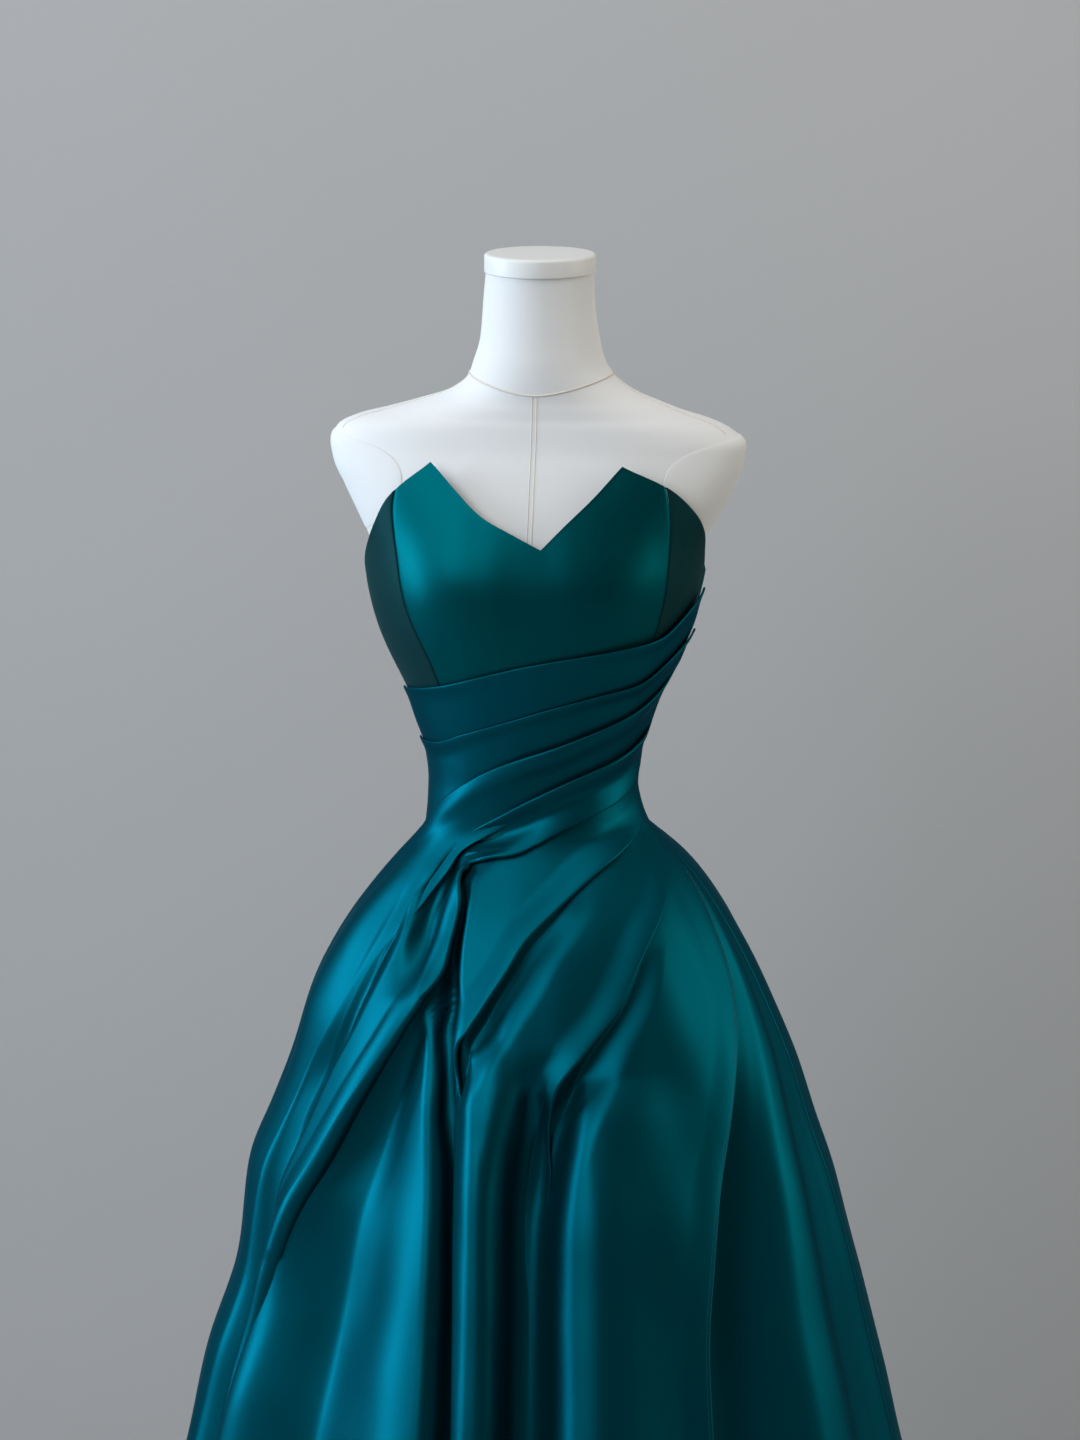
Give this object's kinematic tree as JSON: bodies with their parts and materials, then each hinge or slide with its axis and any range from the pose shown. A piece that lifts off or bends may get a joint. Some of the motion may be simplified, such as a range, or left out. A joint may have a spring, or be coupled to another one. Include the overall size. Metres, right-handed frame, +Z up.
{
  "type": "a-line evening dress on a limbless dress form",
  "caption": "Strapless satin A-line evening dress with a pointed bodice, swept waist pleats and a folded overskirt, standing on a limbless dress form with a pole and round base.",
  "frame": {"origin": "on the floor, at the middle of the underside of the stand's round base", "axes": "+Z up, the dress's front faces -Y, and its left side as seen from the front is at -X"},
  "size_m": [0.8812, 0.8296, 1.546],
  "materials": {
    "satin": "heavy satin with a soft sheen",
    "satin_side": "heavy satin, turned to the side and duller",
    "satin_under": "heavy satin with a soft sheen",
    "form_cloth": "matt plain cotton",
    "cap_finish": "satin lacquer",
    "stand_metal": "brushed",
    "zip_tape": "moulded coil",
    "zip_metal": "satin lacquer"
  },
  "bodies": {
    "dress": {"form_torso": "form_cloth", "form_arm_plate_left": "form_cloth", "form_arm_plate_right": "form_cloth", "form_neck_cap": "cap_finish", "stand_base": "stand_metal", "stand_pole": "stand_metal", "bodice_front": "satin", "bodice_side_left": "satin_side", "bodice_side_right": "satin_side", "bodice_back_left": "satin", "bodice_back_right": "satin", "pleat_band_upper": "satin", "pleat_band_lower": "satin", "drape_hip": "satin", "drape_lip": "satin", "drape_front": "satin", "drape_ridge": "satin", "drape_fall": "satin", "underskirt_front_left": "satin_under", "underskirt_front_right": "satin_under", "skirt_back_side_right": "satin_under", "skirt_back_centre_right": "satin_under", "skirt_back_centre_left": "satin_under", "skirt_back_side_left": "satin_under", "zip_chain": "zip_tape", "zip_slider": "zip_metal"},
    "pull_tab": {"zip_pull": "zip_metal"}
  },
  "joints": [
    {"name": "pull_tab_swing", "type": "hinge", "parent": "dress", "child": "pull_tab", "pos_m": [0, 0.10141, 1.242], "axis": [1, 0, 0], "range_deg": [0, 150]}
  ]
}
